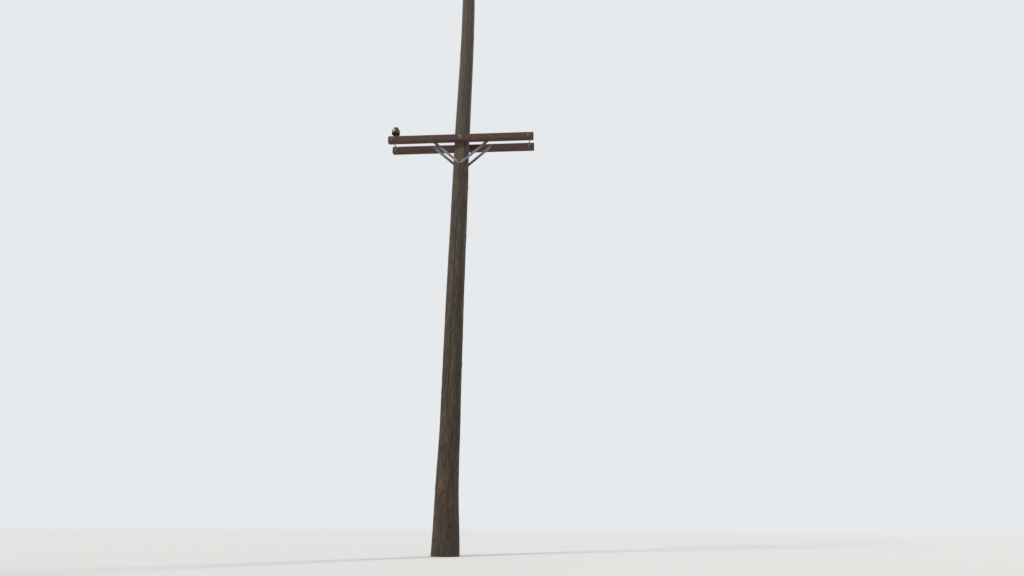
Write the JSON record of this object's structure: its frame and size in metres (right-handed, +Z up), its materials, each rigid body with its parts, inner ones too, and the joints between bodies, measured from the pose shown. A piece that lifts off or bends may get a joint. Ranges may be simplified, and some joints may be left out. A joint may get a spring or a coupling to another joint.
{
  "type": "wooden utility pole with double crossarm",
  "caption": "Tall tapered wooden utility pole, unwired: a braced double crossarm part way up, a braced top crossarm, pin insulators, galvanised hardware.",
  "frame": {"origin": "centre of the pole's flat foot, at ground level", "axes": "+Z up the pole, X along the crossarms, -Y towards the front, where the front arm of the pair and the top arm sit"},
  "size_m": [2.438, 0.4866, 11.735],
  "materials": {
    "pole_wood": "weathered round pole, grey-brown, with long checks and climbing marks",
    "arm_wood": "sawn timber, treated dark reddish brown, weathered",
    "galvanised_steel": "weathered hot-dip galvanising, dull grey",
    "bolt_steel": "weathered galvanised fastenings with a little rust at the edges",
    "porcelain": "glossy brown glaze"
  },
  "bodies": {
    "root": {"pole_shaft": "pole_wood", "front_arm": "arm_wood", "back_arm": "arm_wood", "top_arm": "arm_wood", "front_left_brace": "galvanised_steel", "front_right_brace": "galvanised_steel", "back_left_brace": "galvanised_steel", "back_right_brace": "galvanised_steel", "top_left_brace": "galvanised_steel", "top_right_brace": "galvanised_steel", "arm_bolt": "bolt_steel", "arm_bolt_washers": "bolt_steel", "arm_bolt_nut": "bolt_steel", "brace_bolt": "bolt_steel", "brace_bolt_washers": "bolt_steel", "brace_bolt_nut": "bolt_steel", "left_spacing_bolt": "bolt_steel", "left_spacing_washers": "bolt_steel", "left_spacing_nuts": "bolt_steel", "right_spacing_bolt": "bolt_steel", "right_spacing_washers": "bolt_steel", "right_spacing_nuts": "bolt_steel", "front_brace_arm_bolts": "bolt_steel", "front_brace_arm_nuts": "bolt_steel", "back_brace_arm_bolts": "bolt_steel", "back_brace_arm_nuts": "bolt_steel", "top_brace_arm_bolts": "bolt_steel", "top_brace_arm_washers": "bolt_steel", "top_brace_arm_nuts": "bolt_steel", "top_arm_bolt": "bolt_steel", "top_arm_washer": "bolt_steel", "top_arm_saddle_washer": "bolt_steel", "top_arm_bolt_nut": "bolt_steel", "top_brace_screw": "bolt_steel", "front_left_pin": "bolt_steel", "top_left_pin": "bolt_steel", "top_right_pin": "bolt_steel", "pin_washers": "bolt_steel", "pin_nuts": "bolt_steel", "front_left_insulator": "porcelain", "top_left_insulator": "porcelain", "top_right_insulator": "porcelain"}
  },
  "joints": []
}
